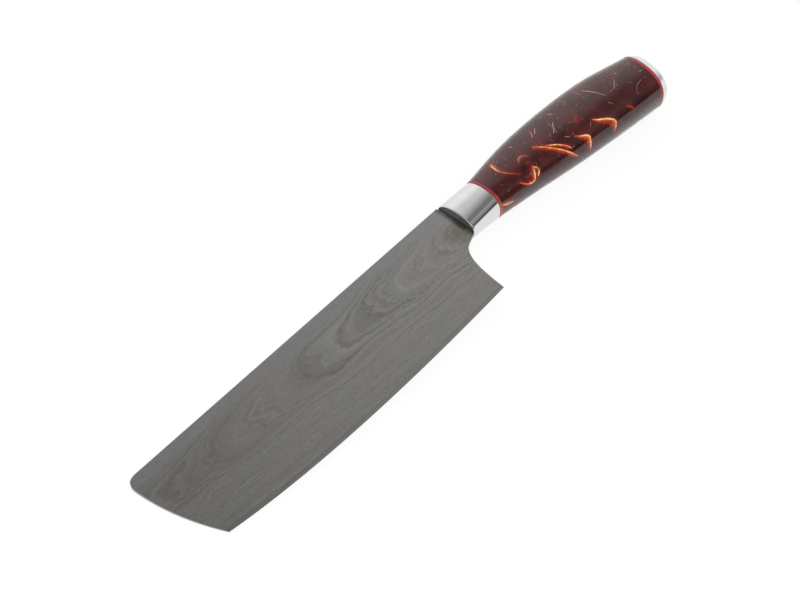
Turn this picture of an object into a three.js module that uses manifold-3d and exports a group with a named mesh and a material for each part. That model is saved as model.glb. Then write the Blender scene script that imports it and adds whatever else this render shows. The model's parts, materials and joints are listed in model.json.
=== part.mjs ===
// A vegetable chopping knife with a hidden tang, lying on its side.
// Millimetres, +Z up. +X runs from the blade's front to the butt and +Y from the cutting edge to the spine.
// Inside the knife, x = 0 is the bolster's front face, y = 0 the spine and z = 0 the blade's middle plane.
// "Place" is a distance in front of the bolster, and "drop" a distance below the spine.

import * as THREE from "three";
import { mergeVertices } from "three/addons/utils/BufferGeometryUtils.js";
import Module from "manifold-3d";

const wasm = await Module();
wasm.setup();

// Blade outline
const bladeLength = 178.7; // bolster to the corner where spine and front would meet
const spineRound = 5.4; // the round front corner's run along the spine
const frontRound = 5.4; // and its run down the front
const frontRake = 0.08; // set-back for each millimetre of drop, where the front starts
const toeSetBack = 11.4;
const toeDrop = 43.3;
const bellyPlace = 113.8; // where the edge's two end tangents meet
const bellyDrop = 51.9;
const heelPlace = 13.7;
const heelDrop = 47.9;
const heelBendPlace = 12.7; // the heel line bends here towards the choil
const heelBendDrop = 33;
const choilFootPlace = 10.2; // the round choil runs from here
const choilFootDrop = 28;
const choilCornerPlace = 8.2; // round this corner
const choilCornerDrop = 23.8;
const neckPlace = 5.4; // to here
const neckDrop = 22.7;
const shoulderDrop = 20.6; // the neck's underside at the bolster

// Blade thickness
const spineThickness = 2;
const flatTaper = 0.028; // loss of thickness for each millimetre of drop
const bevelHeight = 1.6; // the ground cutting edge

// Tang and the stud on its end
const tangRootHeight = 11;
const tangEndHeight = 6;
const tangLength = 58;
const tangClearance = 0.3;
const studDiameter = 6;
const studFork = 10; // overlap of the forked end and the tang
const studProud = 2; // stud past the nut
const nutAcrossFlats = 10;
const nutHeight = 5;
const washerDiameter = 12;
const washerThickness = 1.2;
const nutRoom = 1; // free depth behind the stud

// Bolster, an oval that thickens towards the handle
const bolsterLength = 17;
const bolsterFrontTop = -0.6;
const bolsterFrontBottom = -21;
const bolsterFrontHalf = 6.6;
const bolsterChamfer = 0.4;

// Grip: its top line, bottom line and half thickness at five even steps from the bolster to the butt
const gripLength = 104.5;
const gripFrontTop = -1.5;
const gripFrontBottom = -21.5;
const gripFrontHalf = 8.3;
const gripForeTop = 1.6;
const gripForeBottom = -25.1;
const gripForeHalf = 9.4;
const gripMiddleTop = 1.7;
const gripMiddleBottom = -29;
const gripMiddleHalf = 10.4;
const gripAftTop = -0.5;
const gripAftBottom = -32.1;
const gripAftHalf = 11;
const gripButtTop = -6.6;
const gripButtBottom = -34.7;
const gripButtHalf = 11.3;
const buttTilt = 9.4; // degrees that the butt's plane leans back
const ovalPower = 2.4; // 2 is an ellipse, more is squarer

// Spacers, end cap and its pins
const spacerThickness = 1.4;
const glueLine = 0.06;
const capThickness = 4;
const capTaper = 0.9; // how far its wall comes in before the rear rim
const capRim = 1.6; // radius of that rim
const pinDiameter = 3;
const pinLength = 13;
const pinInCap = 1.4;
const pinOffset = 10; // from the butt's middle

// Copper shavings that the polished skin cuts through: three guide points each, as a share of the
// grip's length and degrees round it from the top line, which bend the strip as a quadratic curve
const shavingWidth = 1.3;
const shavingTip = 0.5;
const shavingThickness = 0.45;
const shavingCover = 0.12; // resin over the strip
const castClearance = 0.1;
const shavings = [
  [0.61, 124, 0.73, 134, 0.685, 170],
  [0.45, 117, 0.575, 132, 0.53, 167],
  [0.31, 97, 0.39, 112, 0.445, 163],
  [0.15, 145, 0.27, 166, 0.235, 127],
  [0.115, 66, 0.095, 101, 0.175, 126],
  [0.04, 164, 0.06, 167, 0.08, 171],
  [0.2, 97, 0.235, 86, 0.258, 103],
  [0.79, 140, 0.81, 142, 0.815, 150],
  [0.87, 131, 0.88, 110, 0.94, 112],
  [0.695, 65, 0.705, 94, 0.76, 107],
  [0.455, 82, 0.43, 93, 0.4, 95],
];

// Fineness of the round surfaces
const aroundGrip = 56;
const alongGrip = 26;
const alongShaving = 10;
const alongEdge = 28;
const alongCurve = 10;
const alongRim = 6;
const aroundRod = 24;
const weld = 1e-4; // points closer than this are one
const overrun = 1; // how far a cut runs past what it cuts

const bladeSteel = new THREE.MeshStandardMaterial({ color: 0x77756f, roughness: 0.45, metalness: 0.85 });
const mirrorSteel = new THREE.MeshStandardMaterial({ color: 0xd4d5d6, roughness: 0.08, metalness: 1 });
const plainSteel = new THREE.MeshStandardMaterial({ color: 0x9a9b9c, roughness: 0.4, metalness: 1 });
const redPlastic = new THREE.MeshStandardMaterial({ color: 0xb3242a, roughness: 0.3, metalness: 0 });
const redResin = new THREE.MeshStandardMaterial({ color: 0x45191a, roughness: 0.1, metalness: 0 });
const copper = new THREE.MeshStandardMaterial({ color: 0xd98545, roughness: 0.3, metalness: 1 });

const knife = new THREE.Group();

function addPiece(name, geometry, material) {
  const mesh = new THREE.Mesh(geometry, material);
  mesh.name = name;
  knife.add(mesh);
}

function closedGeometry(points, triangles) {
  const geometry = new THREE.BufferGeometry().setFromPoints(points);
  geometry.setIndex(triangles);
  return geometry;
}

function toSolid(geometry) {
  const bare = geometry.clone();
  bare.deleteAttribute("normal");
  bare.deleteAttribute("uv");
  const merged = mergeVertices(bare, weld);
  return new wasm.Manifold(
    new wasm.Mesh({
      numProp: 3,
      vertProperties: merged.attributes.position.array,
      triVerts: new Uint32Array(merged.index.array),
    }),
  );
}

function cut(geometry, ...tools) {
  const left = tools.reduce((body, tool) => body.subtract(toSolid(tool)), toSolid(geometry));
  const mesh = left.getMesh();
  return new THREE.BufferGeometry()
    .setAttribute("position", new THREE.BufferAttribute(mesh.vertProperties, mesh.numProp))
    .setIndex(new THREE.BufferAttribute(mesh.triVerts, 1));
}

// Skins rings of equal length, closed by a fan at each end. A ring turns from its first point towards the
// side that makes the skin face outwards: for rings set along +X, from +Y to +Z.
function loft(rings) {
  const count = rings[0].length;
  const points = rings.flat();
  const triangles = [];
  for (let i = 0; i + 1 < rings.length; i++) {
    for (let j = 0; j < count; j++) {
      const a = i * count + j;
      const b = i * count + ((j + 1) % count);
      triangles.push(a, b, a + count, b, b + count, a + count);
    }
  }
  const middle = (ring) => ring.reduce((sum, p) => sum.add(p), new THREE.Vector3()).divideScalar(count);
  const last = points.length - count;
  const front = points.push(middle(rings[0])) - 1;
  const back = points.push(middle(rings.at(-1))) - 1;
  for (let j = 0; j < count; j++) {
    const k = (j + 1) % count;
    triangles.push(front, k, j, back, last + j, last + k);
  }
  return closedGeometry(points, triangles);
}

function signedPower(value, power) {
  return Math.sign(value) * Math.abs(value) ** power;
}

// A point of an oval section: degrees run from the top line over the upper side to the bottom line.
function ovalPoint({ x, top, bottom, half, tilt }, degrees, inset = 0) {
  const angle = THREE.MathUtils.degToRad(degrees);
  const lean = THREE.MathUtils.degToRad(tilt);
  const rise = ((top - bottom) / 2 - inset) * signedPower(Math.cos(angle), 2 / ovalPower);
  const side = (half - inset) * signedPower(Math.sin(angle), 2 / ovalPower);
  return new THREE.Vector3(x + rise * Math.sin(lean), (top + bottom) / 2 + rise * Math.cos(lean), side);
}

function ovalRing(section, inset = 0) {
  return Array.from({ length: aroundGrip }, (_, j) => ovalPoint(section, (360 * j) / aroundGrip, inset));
}

// The grip's section at a share of its length, on smooth lines through the stations.
const gripLines = new THREE.CatmullRomCurve3(
  [
    new THREE.Vector3(gripFrontTop, gripFrontBottom, gripFrontHalf),
    new THREE.Vector3(gripForeTop, gripForeBottom, gripForeHalf),
    new THREE.Vector3(gripMiddleTop, gripMiddleBottom, gripMiddleHalf),
    new THREE.Vector3(gripAftTop, gripAftBottom, gripAftHalf),
    new THREE.Vector3(gripButtTop, gripButtBottom, gripButtHalf),
  ],
  false,
  "catmullrom",
);

function gripSection(share) {
  const line = gripLines.getPoint(share);
  const x = bolsterLength + share * gripLength;
  return { x, top: line.x, bottom: line.y, half: line.z, tilt: share * buttTilt };
}

function gripSlice(from, to, steps) {
  const share = (i) => (from + ((to - from) * i) / steps) / gripLength;
  return loft(Array.from({ length: steps + 1 }, (_, i) => ovalRing(gripSection(share(i)))));
}

// The line that tang, stud, washer and nut share: from the bolster's middle to the butt's middle.
const butt = gripSection(1);
const buttMiddle = new THREE.Vector3(butt.x, (butt.top + butt.bottom) / 2, 0);
const tangRoot = new THREE.Vector3(0, (bolsterFrontTop + bolsterFrontBottom) / 2, 0);
const tangRun = tangRoot.distanceTo(buttMiddle);
const tangWay = buttMiddle.clone().sub(tangRoot).divideScalar(tangRun);
const tangAcross = new THREE.Vector3(-tangWay.y, tangWay.x, 0);

function onTang(along, across) {
  return tangRoot.clone().addScaledVector(tangWay, along).addScaledVector(tangAcross, across);
}

function rodBetween(start, end, radius, sides = aroundRod) {
  const way = end.clone().sub(start);
  const rod = new THREE.CylinderGeometry(radius, radius, way.length(), sides);
  const turn = new THREE.Quaternion().setFromUnitVectors(new THREE.Vector3(0, 1, 0), way.normalize());
  rod.applyQuaternion(turn);
  const middle = start.clone().add(end).divideScalar(2);
  return rod.translate(middle.x, middle.y, middle.z);
}

function tangRod(from, to, radius, sides) {
  return rodBetween(onTang(from, 0), onTang(to, 0), radius, sides);
}

// A slot round the tang, as wide as the spine and clear of it on every side.
function tangSlot() {
  const length = tangLength + tangClearance;
  const root = tangRootHeight / 2 + tangClearance;
  const end = tangEndHeight / 2 + tangClearance;
  const lead = -tangRootHeight; // well in front of the bolster
  const lower = [onTang(lead, -root), onTang(0, -root), onTang(length, -end)];
  const upper = [onTang(length, end), onTang(0, root), onTang(lead, root)];
  const thickness = spineThickness + 2 * tangClearance;
  const outline = new THREE.Shape([...lower, ...upper]);
  const slot = new THREE.ExtrudeGeometry(outline, { depth: thickness, bevelEnabled: false });
  return slot.translate(0, 0, -thickness / 2);
}

// The blade's outline from the choil round the tang and the spine to the toe, anticlockwise from above.
function bladeBody() {
  const path = new THREE.Path();
  const midFront = (frontRound + toeDrop) / 2;
  path.moveTo(-choilFootPlace, -choilFootDrop);
  path.quadraticCurveTo(-choilCornerPlace, -choilCornerDrop, -neckPlace, -neckDrop);
  path.lineTo(0, -shoulderDrop);
  for (const corner of [
    onTang(0, -tangRootHeight / 2).setX(0),
    onTang(tangLength, -tangEndHeight / 2),
    onTang(tangLength, tangEndHeight / 2),
    onTang(0, tangRootHeight / 2).setX(0),
  ]) {
    path.lineTo(corner.x, corner.y);
  }
  path.lineTo(0, 0);
  path.lineTo(spineRound - bladeLength, 0);
  path.quadraticCurveTo(-bladeLength, 0, frontRake * frontRound - bladeLength, -frontRound);
  path.quadraticCurveTo(frontRake * midFront - bladeLength, -midFront, toeSetBack - bladeLength, -toeDrop);
  return path.getPoints(alongCurve);
}

function cuttingEdge() {
  const toe = new THREE.Vector2(toeSetBack - bladeLength, -toeDrop);
  const heel = new THREE.Vector2(-heelPlace, -heelDrop);
  const belly = new THREE.Vector2(-bellyPlace, -bellyDrop);
  return new THREE.QuadraticBezierCurve(toe, belly, heel).getPoints(alongEdge);
}

function heelLine() {
  const heel = new THREE.Vector2(-heelPlace, -heelDrop);
  const bend = new THREE.Vector2(-heelBendPlace, -heelBendDrop);
  const choilFoot = new THREE.Vector2(-choilFootPlace, -choilFootDrop);
  return new THREE.QuadraticBezierCurve(heel, bend, choilFoot).getPoints(alongCurve);
}

// The point of a line of points that lies at a given height above the line's first point.
function atHeight(line, height) {
  const level = line[0].y + height;
  const i = line.findIndex((p) => p.y > level);
  const share = (level - line[i - 1].y) / (line[i].y - line[i - 1].y);
  return { point: line[i - 1].clone().lerp(line[i], share), rest: line.slice(i) };
}

// Flat faces that taper from spine to edge, upright walls, and a bevel on each side down to a sharp edge.
function bladeGeometry() {
  const edge = cuttingEdge();
  const body = bladeBody();
  const front = atHeight(body.slice().reverse(), bevelHeight);
  const heel = atHeight(heelLine(), bevelHeight);
  const wall = [heel.point, ...heel.rest.slice(0, -1), ...front.rest.toReversed(), front.point];
  const bevelLine = edge.slice(1, -1).map((p) => new THREE.Vector2(p.x, p.y + bevelHeight));
  const face = [...wall, ...bevelLine];
  const count = face.length;
  const halfAt = (p) => (spineThickness + flatTaper * p.y) / 2;
  const points = [
    ...face.map((p) => new THREE.Vector3(p.x, p.y, halfAt(p))),
    ...face.map((p) => new THREE.Vector3(p.x, p.y, -halfAt(p))),
    ...edge.map((p) => new THREE.Vector3(p.x, p.y, 0)),
  ];
  const triangles = [];
  for (const [a, b, c] of THREE.ShapeUtils.triangulateShape(face, [])) {
    triangles.push(a, b, c, count + c, count + b, count + a);
  }
  for (let i = 0; i + 1 < wall.length; i++) {
    triangles.push(i, count + i, i + 1, i + 1, count + i, count + i + 1);
  }
  const firstEdge = 2 * count;
  const inner = (i) => (wall.length - 1 + i) % count;
  for (let i = 0; i + 1 < edge.length; i++) {
    const a = inner(i);
    const b = inner(i + 1);
    const e = firstEdge + i;
    triangles.push(a, e, b, b, e, e + 1, a + count, b + count, e, b + count, e + 1, e);
  }
  const lastEdge = firstEdge + edge.length - 1;
  const toe = wall.length - 1;
  triangles.push(toe, toe + count, firstEdge, 0, lastEdge, count);
  return closedGeometry(points, triangles);
}

function bolsterGeometry() {
  const rear = gripSection(0);
  const front = { top: bolsterFrontTop, bottom: bolsterFrontBottom, half: bolsterFrontHalf };
  const between = (x) => {
    const share = x / bolsterLength;
    const mix = (name) => front[name] + (rear[name] - front[name]) * share;
    return { x, top: mix("top"), bottom: mix("bottom"), half: mix("half"), tilt: 0 };
  };
  const rings = [
    ovalRing(between(glueLine), bolsterChamfer),
    ovalRing(between(glueLine + bolsterChamfer)),
    ovalRing(between(bolsterLength - bolsterChamfer)),
    ovalRing(between(bolsterLength), bolsterChamfer),
  ];
  return cut(loft(rings), tangSlot());
}

// The butt's own frame: its middle, its upward line and the way out of the knife.
const buttLean = THREE.MathUtils.degToRad(buttTilt);
const buttUp = new THREE.Vector3(Math.sin(buttLean), Math.cos(buttLean), 0);
const buttOut = new THREE.Vector3(Math.cos(buttLean), -Math.sin(buttLean), 0);

function capPin(side, radius, inside, outside) {
  const middle = buttMiddle.clone().addScaledVector(buttUp, side * pinOffset);
  const start = middle.clone().addScaledVector(buttOut, -inside);
  return rodBetween(start, middle.addScaledVector(buttOut, outside), radius);
}

const pinHoleRadius = pinDiameter / 2 + glueLine;
const pinInside = pinLength - pinInCap;
const pinHoles = [1, -1].map((side) =>
  capPin(side, pinHoleRadius, pinInside + glueLine, pinInCap + glueLine),
);

function capGeometry() {
  const ring = (out, inset) => ovalRing(butt, inset).map((p) => p.addScaledVector(buttOut, out));
  const rings = [ring(glueLine, 0)];
  const lean = Math.atan2(capTaper, capThickness - capRim);
  for (let i = 0; i <= alongRim; i++) {
    const turn = lean + (Math.PI / 2 - lean) * (i / alongRim);
    const inset = capTaper + capRim * (Math.cos(lean) - Math.cos(turn));
    rings.push(ring(capThickness - capRim * (1 - Math.sin(turn)), inset));
  }
  return cut(loft(rings), ...pinHoles);
}

// A strip along a bent line on the grip's skin, between two depths. A margin on its sides and ends
// turns it into the groove that holds it.
function skinStrip(guide, outer, inner, margin) {
  const [s0, a0, s1, a1, s2, a2] = guide;
  const line = new THREE.QuadraticBezierCurve(
    new THREE.Vector2(s0, a0),
    new THREE.Vector2(s1, a1),
    new THREE.Vector2(s2, a2),
  );
  const skin = (share, degrees) => ovalPoint(gripSection(share), degrees);
  const spots = line.getPoints(alongShaving);
  const onSkin = spots.map((p) => skin(p.x, p.y));
  const nudge = 0.002;
  const rings = spots.map((p, i) => {
    const along = skin(p.x + nudge, p.y).sub(skin(p.x - nudge, p.y));
    const around = skin(p.x, p.y + 1).sub(skin(p.x, p.y - 1));
    const outward = around.cross(along).normalize();
    const before = onSkin[Math.max(i - 1, 0)];
    const after = onSkin[Math.min(i + 1, alongShaving)];
    const way = after.clone().sub(before).normalize();
    const across = way.clone().cross(outward).normalize();
    const end = i === 0 ? -1 : i === alongShaving ? 1 : 0;
    const middle = onSkin[i].clone().addScaledVector(way, end * margin);
    const swell = Math.sin((Math.PI * i) / alongShaving);
    const halfWidth = (shavingTip + (shavingWidth - shavingTip) * swell) / 2 + margin;
    const corner = (depth, side) =>
      middle.clone().addScaledVector(outward, -depth).addScaledVector(across, side * halfWidth);
    return [corner(outer, -1), corner(outer, 1), corner(inner, 1), corner(inner, -1)];
  });
  return loft(rings);
}

const shavingFloor = shavingCover + shavingThickness;
// The far side is laid out as the near side turned end for end.
const farShavings = shavings.map((guide) => guide.map((v, i) => (i % 2 ? v + 180 : 1 - v)));
const allShavings = [...shavings, ...farShavings];

const studTo = tangRun - spacerThickness - glueLine - nutRoom; // the stud's rear end
const nutTo = studTo - studProud;
const nutFrom = nutTo - nutHeight;
const washerTo = nutFrom - glueLine;
const washerFrom = washerTo - washerThickness;
const counterboreFloor = washerFrom - glueLine;
const studRadius = studDiameter / 2;
const studHole = studRadius + tangClearance;
const nutHole = studRadius + glueLine;
const studFrom = tangLength - studFork;

function handleGeometry() {
  const from = spacerThickness + 2 * glueLine;
  const to = gripLength - spacerThickness - glueLine;
  const grooves = allShavings.map((guide) =>
    skinStrip(guide, -shavingFloor, shavingFloor + castClearance, castClearance),
  );
  return cut(
    gripSlice(from, to, alongGrip),
    tangSlot(),
    tangRod(studFrom - tangClearance, tangRun, studHole),
    tangRod(counterboreFloor, tangRun + spacerThickness, washerDiameter / 2 + tangClearance),
    ...pinHoles,
    ...grooves,
  );
}

function studGeometry() {
  const slotLength = overrun + studFork + glueLine;
  const slotHeight = studDiameter + 2 * tangClearance;
  const slotWidth = spineThickness + 2 * glueLine;
  const slot = new THREE.BoxGeometry(slotLength, slotHeight, slotWidth);
  slot.rotateZ(Math.atan2(tangWay.y, tangWay.x));
  const middle = onTang(tangLength + glueLine - slotLength / 2, 0);
  slot.translate(middle.x, middle.y, 0);
  return cut(tangRod(studFrom, studTo, studRadius), slot);
}

function studRing(from, to, radius, sides, hole) {
  return cut(tangRod(from, to, radius, sides), tangRod(from - overrun, to + overrun, hole));
}

addPiece("blade", bladeGeometry(), bladeSteel);
addPiece("bolster", bolsterGeometry(), mirrorSteel);
addPiece("front_spacer", cut(gripSlice(glueLine, glueLine + spacerThickness, 1), tangSlot()), redPlastic);
addPiece("handle", handleGeometry(), redResin);
addPiece("rear_spacer", cut(gripSlice(gripLength - spacerThickness, gripLength, 1), ...pinHoles), redPlastic);
addPiece("end_cap", capGeometry(), mirrorSteel);
addPiece("tang_stud", studGeometry(), plainSteel);
addPiece("stud_washer", studRing(washerFrom, washerTo, washerDiameter / 2, aroundRod, studHole), plainSteel);
addPiece("stud_nut", studRing(nutFrom, nutTo, nutAcrossFlats / Math.sqrt(3), 6, nutHole), plainSteel);
addPiece("cap_pin_upper", capPin(1, pinDiameter / 2, pinInside, pinInCap), plainSteel);
addPiece("cap_pin_lower", capPin(-1, pinDiameter / 2, pinInside, pinInCap), plainSteel);
allShavings.forEach((guide, i) => {
  const name = `copper_shaving_${String(i + 1).padStart(2, "0")}`;
  addPiece(name, skinStrip(guide, shavingCover, shavingFloor, 0), copper);
});

// The knife lies on the blade's front and the handle's belly, so it leans down towards the front.
const frontHalf = spineThickness / 2;
const bellyAngles = Array.from({ length: alongGrip + 1 }, (_, i) => {
  const { x, half } = gripSection(i / alongGrip);
  return Math.atan2(half - frontHalf, x + bladeLength);
});
knife.rotation.y = -Math.max(...bellyAngles);

const part = new THREE.Group();
part.add(knife);
const box = new THREE.Box3().setFromObject(part, true);
const middle = box.getCenter(new THREE.Vector3());
knife.position.set(-middle.x, -middle.y, -box.min.z);

export default part;
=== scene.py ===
import bpy
import json
import numpy as np
from mathutils import Matrix


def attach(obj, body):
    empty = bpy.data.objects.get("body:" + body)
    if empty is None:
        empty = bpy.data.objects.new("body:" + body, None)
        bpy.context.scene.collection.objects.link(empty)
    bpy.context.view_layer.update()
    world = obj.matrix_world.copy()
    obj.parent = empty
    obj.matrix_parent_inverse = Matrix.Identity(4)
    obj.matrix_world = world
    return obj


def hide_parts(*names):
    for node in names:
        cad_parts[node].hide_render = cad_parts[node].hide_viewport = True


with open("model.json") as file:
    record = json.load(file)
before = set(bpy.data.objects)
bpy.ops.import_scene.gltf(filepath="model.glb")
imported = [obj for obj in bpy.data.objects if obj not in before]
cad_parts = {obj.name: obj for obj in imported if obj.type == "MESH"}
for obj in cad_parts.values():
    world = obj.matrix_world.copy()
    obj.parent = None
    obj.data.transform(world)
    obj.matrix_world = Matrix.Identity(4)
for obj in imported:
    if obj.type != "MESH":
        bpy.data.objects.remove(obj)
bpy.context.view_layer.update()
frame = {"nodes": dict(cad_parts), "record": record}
scene = bpy.context.scene
scene.view_settings.view_transform = "Standard"
mm = 0.001
print("frame:", len(frame["nodes"]), "nodes")

# The knife's own frame, in mm: x = 0 at the bolster's front, y = 0 at the spine, z = 0 mid-blade.
# The two side mounts sit at the same spot of the blade, so they give its lean and its place.
sideSpot = np.array([-90.0, -24.0, 0.0])
mounts = {m["name"]: m for m in frame["record"]["mounts"]}
upperSide, lowerSide = mounts["blade_upper_side"], mounts["blade_lower_side"]
lean = np.arctan2(upperSide["axis"][0], upperSide["axis"][2])
turn = np.array([[np.cos(lean), 0, np.sin(lean)], [0, 1, 0], [-np.sin(lean), 0, np.cos(lean)]])
knifeOrigin = (np.array(upperSide["pos_m"]) + np.array(lowerSide["pos_m"])) / 2 - turn @ sideSpot * mm


def inRow(points):
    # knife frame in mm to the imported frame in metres
    return np.asarray(points, float) @ turn.T * mm + knifeOrigin


def bezier(start, bend, end, count, first=0.0, last=1.0):
    # quadratic curve: two straight mixes towards the bend, mixed again
    t = np.linspace(first, last, count)[:, None]
    start, bend, end = (np.array(p, float) for p in (start, bend, end))
    return (1 - t) ** 2 * start + 2 * t * (1 - t) * bend + t ** 2 * end


def throughPoints(points, at):
    # even Catmull-Rom through rows of values, its ends carried on straight; at runs 0..1
    points = np.asarray(points, float)
    knots = np.vstack([2 * points[0] - points[1], points, 2 * points[-1] - points[-2]])
    spot = np.clip(at, 0, 1) * (len(points) - 1)
    cell = np.minimum(spot.astype(int), len(points) - 2)
    t = (spot - cell)[..., None]
    a, b, c, d = (knots[cell + k] for k in range(4))
    return 0.5 * (
        2 * b + (c - a) * t + (2 * a - 5 * b + 4 * c - d) * t ** 2
        + (3 * b - a - 3 * c + d) * t ** 3)


def signedPower(value, power):
    return np.sign(value) * np.abs(value) ** power


def unit(vectors):
    return vectors / np.linalg.norm(vectors, axis=-1, keepdims=True)


def quadsOfGrid(rows, columns, wrap=False):
    # corner numbers of every cell of a rows x columns grid, the last column joined to the first if wrapped
    i, j = np.meshgrid(np.arange(rows - 1), np.arange(columns if wrap else columns - 1), indexing="ij")
    k = (j + 1) % columns
    corners = [i * columns + j, i * columns + k, (i + 1) * columns + k, (i + 1) * columns + j]
    return np.stack(corners, -1).reshape(-1, 4)


def newObject(name, points, faces):
    # points in metres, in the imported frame
    mesh = bpy.data.meshes.new(name)
    mesh.from_pydata(np.asarray(points).tolist(), [], faces)
    thing = bpy.data.objects.new(name, mesh)
    scene.collection.objects.link(thing)
    return thing


def meshObject(name, points, faces, sharpAngle=30.0):
    piece = newObject(name, inRow(points), faces)
    mesh = piece.data
    mesh.polygons.foreach_set("use_smooth", np.ones(len(mesh.polygons), bool))
    mesh.set_sharp_from_angle(angle=np.radians(sharpAngle))
    mesh.update()
    return piece


def paintPoints(mesh, name, values):
    # a number at each point, for the finish to read
    mesh.attributes.new(name, "FLOAT", "POINT").data.foreach_set("value", np.asarray(values, np.float32))


def dress(piece, material, slotName, *nodes):
    piece.data.materials.append(material)
    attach(piece, "root")
    if nodes:
        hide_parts(*nodes)
    return piece


def closedLoft(rings):
    # rings x around x 3, skinned in order, with a fan from each end's middle
    count, around = rings.shape[:2]
    points = np.vstack([rings.reshape(-1, 3), rings[0].mean(0), rings[-1].mean(0)])
    j = np.arange(around)
    k = (j + 1) % around
    last = (count - 1) * around
    front = np.stack([np.full(around, count * around), k, j], -1)
    back = np.stack([np.full(around, count * around + 1), last + j, last + k], -1)
    return points, quadsOfGrid(count, around, True).tolist() + front.tolist() + back.tolist()


# Nodes of the materials
def newMaterial(name):
    material = bpy.data.materials.new(name)
    material.use_nodes = True
    return material, material.node_tree, material.node_tree.nodes["Principled BSDF"]


def fillSockets(tree, node, inputs):
    # links what comes from other nodes, and sets plain values on the node's own sockets
    for key, value in inputs.items():
        if isinstance(value, bpy.types.NodeSocket):
            tree.links.new(value, node.inputs[key])
        else:
            node.inputs[key].default_value = value


def addNode(tree, kind, inputs=None, **settings):
    node = tree.nodes.new(kind)
    for key, value in settings.items():
        setattr(node, key, value)
    fillSockets(tree, node, inputs or {})
    return node


def mathNode(tree, operation, a, b=0.0, c=0.0):
    return addNode(tree, "ShaderNodeMath", {0: a, 1: b, 2: c}, operation=operation).outputs[0]


def weighted(tree, base, *parts):
    # base plus each value times its weight
    for value, weight in parts:
        base = mathNode(tree, "MULTIPLY_ADD", value, weight, base)
    return base


def knifeCoordinates(tree):
    # object coordinates turned into the knife's own millimetres
    spot = addNode(tree, "ShaderNodeTexCoord").outputs["Object"]
    back = -turn.T @ knifeOrigin / mm
    return addNode(tree, "ShaderNodeMapping", {
        "Vector": spot, "Location": back, "Rotation": (0, -lean, 0), "Scale": (1 / mm,) * 3}).outputs[0]


def noise(tree, spot, cells, detail=3.0, roughness=0.6, distortion=0.0, offset=(0, 0, 0)):
    # cells per mm, one number or one for each axis
    cells = cells if isinstance(cells, tuple) else (cells,) * 3
    placed = addNode(tree, "ShaderNodeMapping", {
        "Vector": spot, "Scale": cells, "Location": offset}).outputs[0]
    return addNode(tree, "ShaderNodeTexNoise", {
        "Vector": placed, "Scale": 1.0, "Detail": detail, "Roughness": roughness,
        "Distortion": distortion}).outputs["Fac"]


def layerNoise(tree, value, scale, detail):
    # noise along one number
    return addNode(tree, "ShaderNodeTexNoise", {
        "W": value, "Scale": scale, "Detail": detail, "Roughness": 0.7}, noise_dimensions="1D").outputs["Fac"]


def ramp(tree, value, stops):
    node = addNode(tree, "ShaderNodeValToRGB", {"Fac": value})
    while len(node.color_ramp.elements) < len(stops):
        node.color_ramp.elements.new(0.5)
    for element, (place, colour) in zip(node.color_ramp.elements, stops):
        element.position = place
        element.color = (*colour, 1) if len(colour) == 3 else colour
    return node.outputs["Color"]


def rangeOf(tree, value, fromLow, fromHigh, toLow, toHigh):
    return addNode(tree, "ShaderNodeMapRange", {
        "Value": value, "From Min": fromLow, "From Max": fromHigh,
        "To Min": toLow, "To Max": toHigh}).outputs[0]


def toneAlong(tree, coordinate, low, stops):
    # grey by a coordinate in mm that runs from low to 0
    share = rangeOf(tree, coordinate, low, 0, 0, 1)
    return ramp(tree, share, [(1 - place / low, (tone,) * 3) for place, tone in stops])


def mixColours(tree, share, first, second, blend="MIX"):
    inputs = {"Factor": share, 6: first, 7: second}
    return addNode(tree, "ShaderNodeMix", inputs, data_type="RGBA", blend_type=blend).outputs[2]


def bump(tree, shader, height, strength, depth):
    # depth in mm
    relief = addNode(tree, "ShaderNodeBump", {"Height": height, "Strength": strength, "Distance": depth * mm})
    tree.links.new(relief.outputs[0], shader.inputs["Normal"])


# Blade
blade = {
    "length": 178.7, "spineRound": 5.4, "frontRound": 5.4, "frontRake": 0.08,
    "toe": (11.4, -43.3),            # set back from the front, and its height
    "belly": (-113.8, -51.9), "heel": (-13.7, -47.9), "heelBend": (-12.7, -33.0),
    "choilFoot": (-10.2, -28.0), "choilCorner": (-8.2, -23.8),
    "neck": (-5.4, -22.7), "shoulder": (0.0, -20.6),
    "spineThickness": 2.0, "flatTaper": 0.028, "bevelHeight": 1.6, "edgeHalf": 0.015, "ease": 0.22,
    "tangRootHeight": 11.0, "tangEndHeight": 6.0, "tangLength": 58.0, "tangLap": 1.0,
    # points of each outline, then steps along and across, at the rims and by the bevel
    "edgePoints": 200, "frontPoints": 40, "cornerPoints": 20, "columns": 260, "rows": 56,
    "rimSteps": (0, 0.03, 0.08, 0.15, 0.24, 0.5, 1.0), "bevelStep": 0.12,
    "thinner": 0.02,                 # a point this much thinner than the flat face counts as bevel
    "sharpAngle": 25.0,
}


def evenly(line, shares):
    # points at shares of a line's length
    run = np.concatenate([[0], np.cumsum(np.linalg.norm(np.diff(line, axis=0), axis=1))])
    return np.stack([np.interp(shares * run[-1], run, line[:, k]) for k in range(2)], -1)


def clusteredSteps(length, nearStart, nearEnd, count):
    # distances from 0 to length: fixed ones near both ends, even ones between, for an array of lengths
    length = np.asarray(length, float)[..., None]
    near, far = np.array(nearStart, float), np.array(nearEnd, float)[::-1]
    share = np.linspace(0, 1, count + 2)[1:-1]
    between = near[-1] + (length - near[-1] - far[0]) * share
    return np.concatenate([np.broadcast_to(near, length.shape[:-1] + near.shape), between, length - far], -1)


def bladeHalf(y):
    return (blade["spineThickness"] + blade["flatTaper"] * y) / 2


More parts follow.
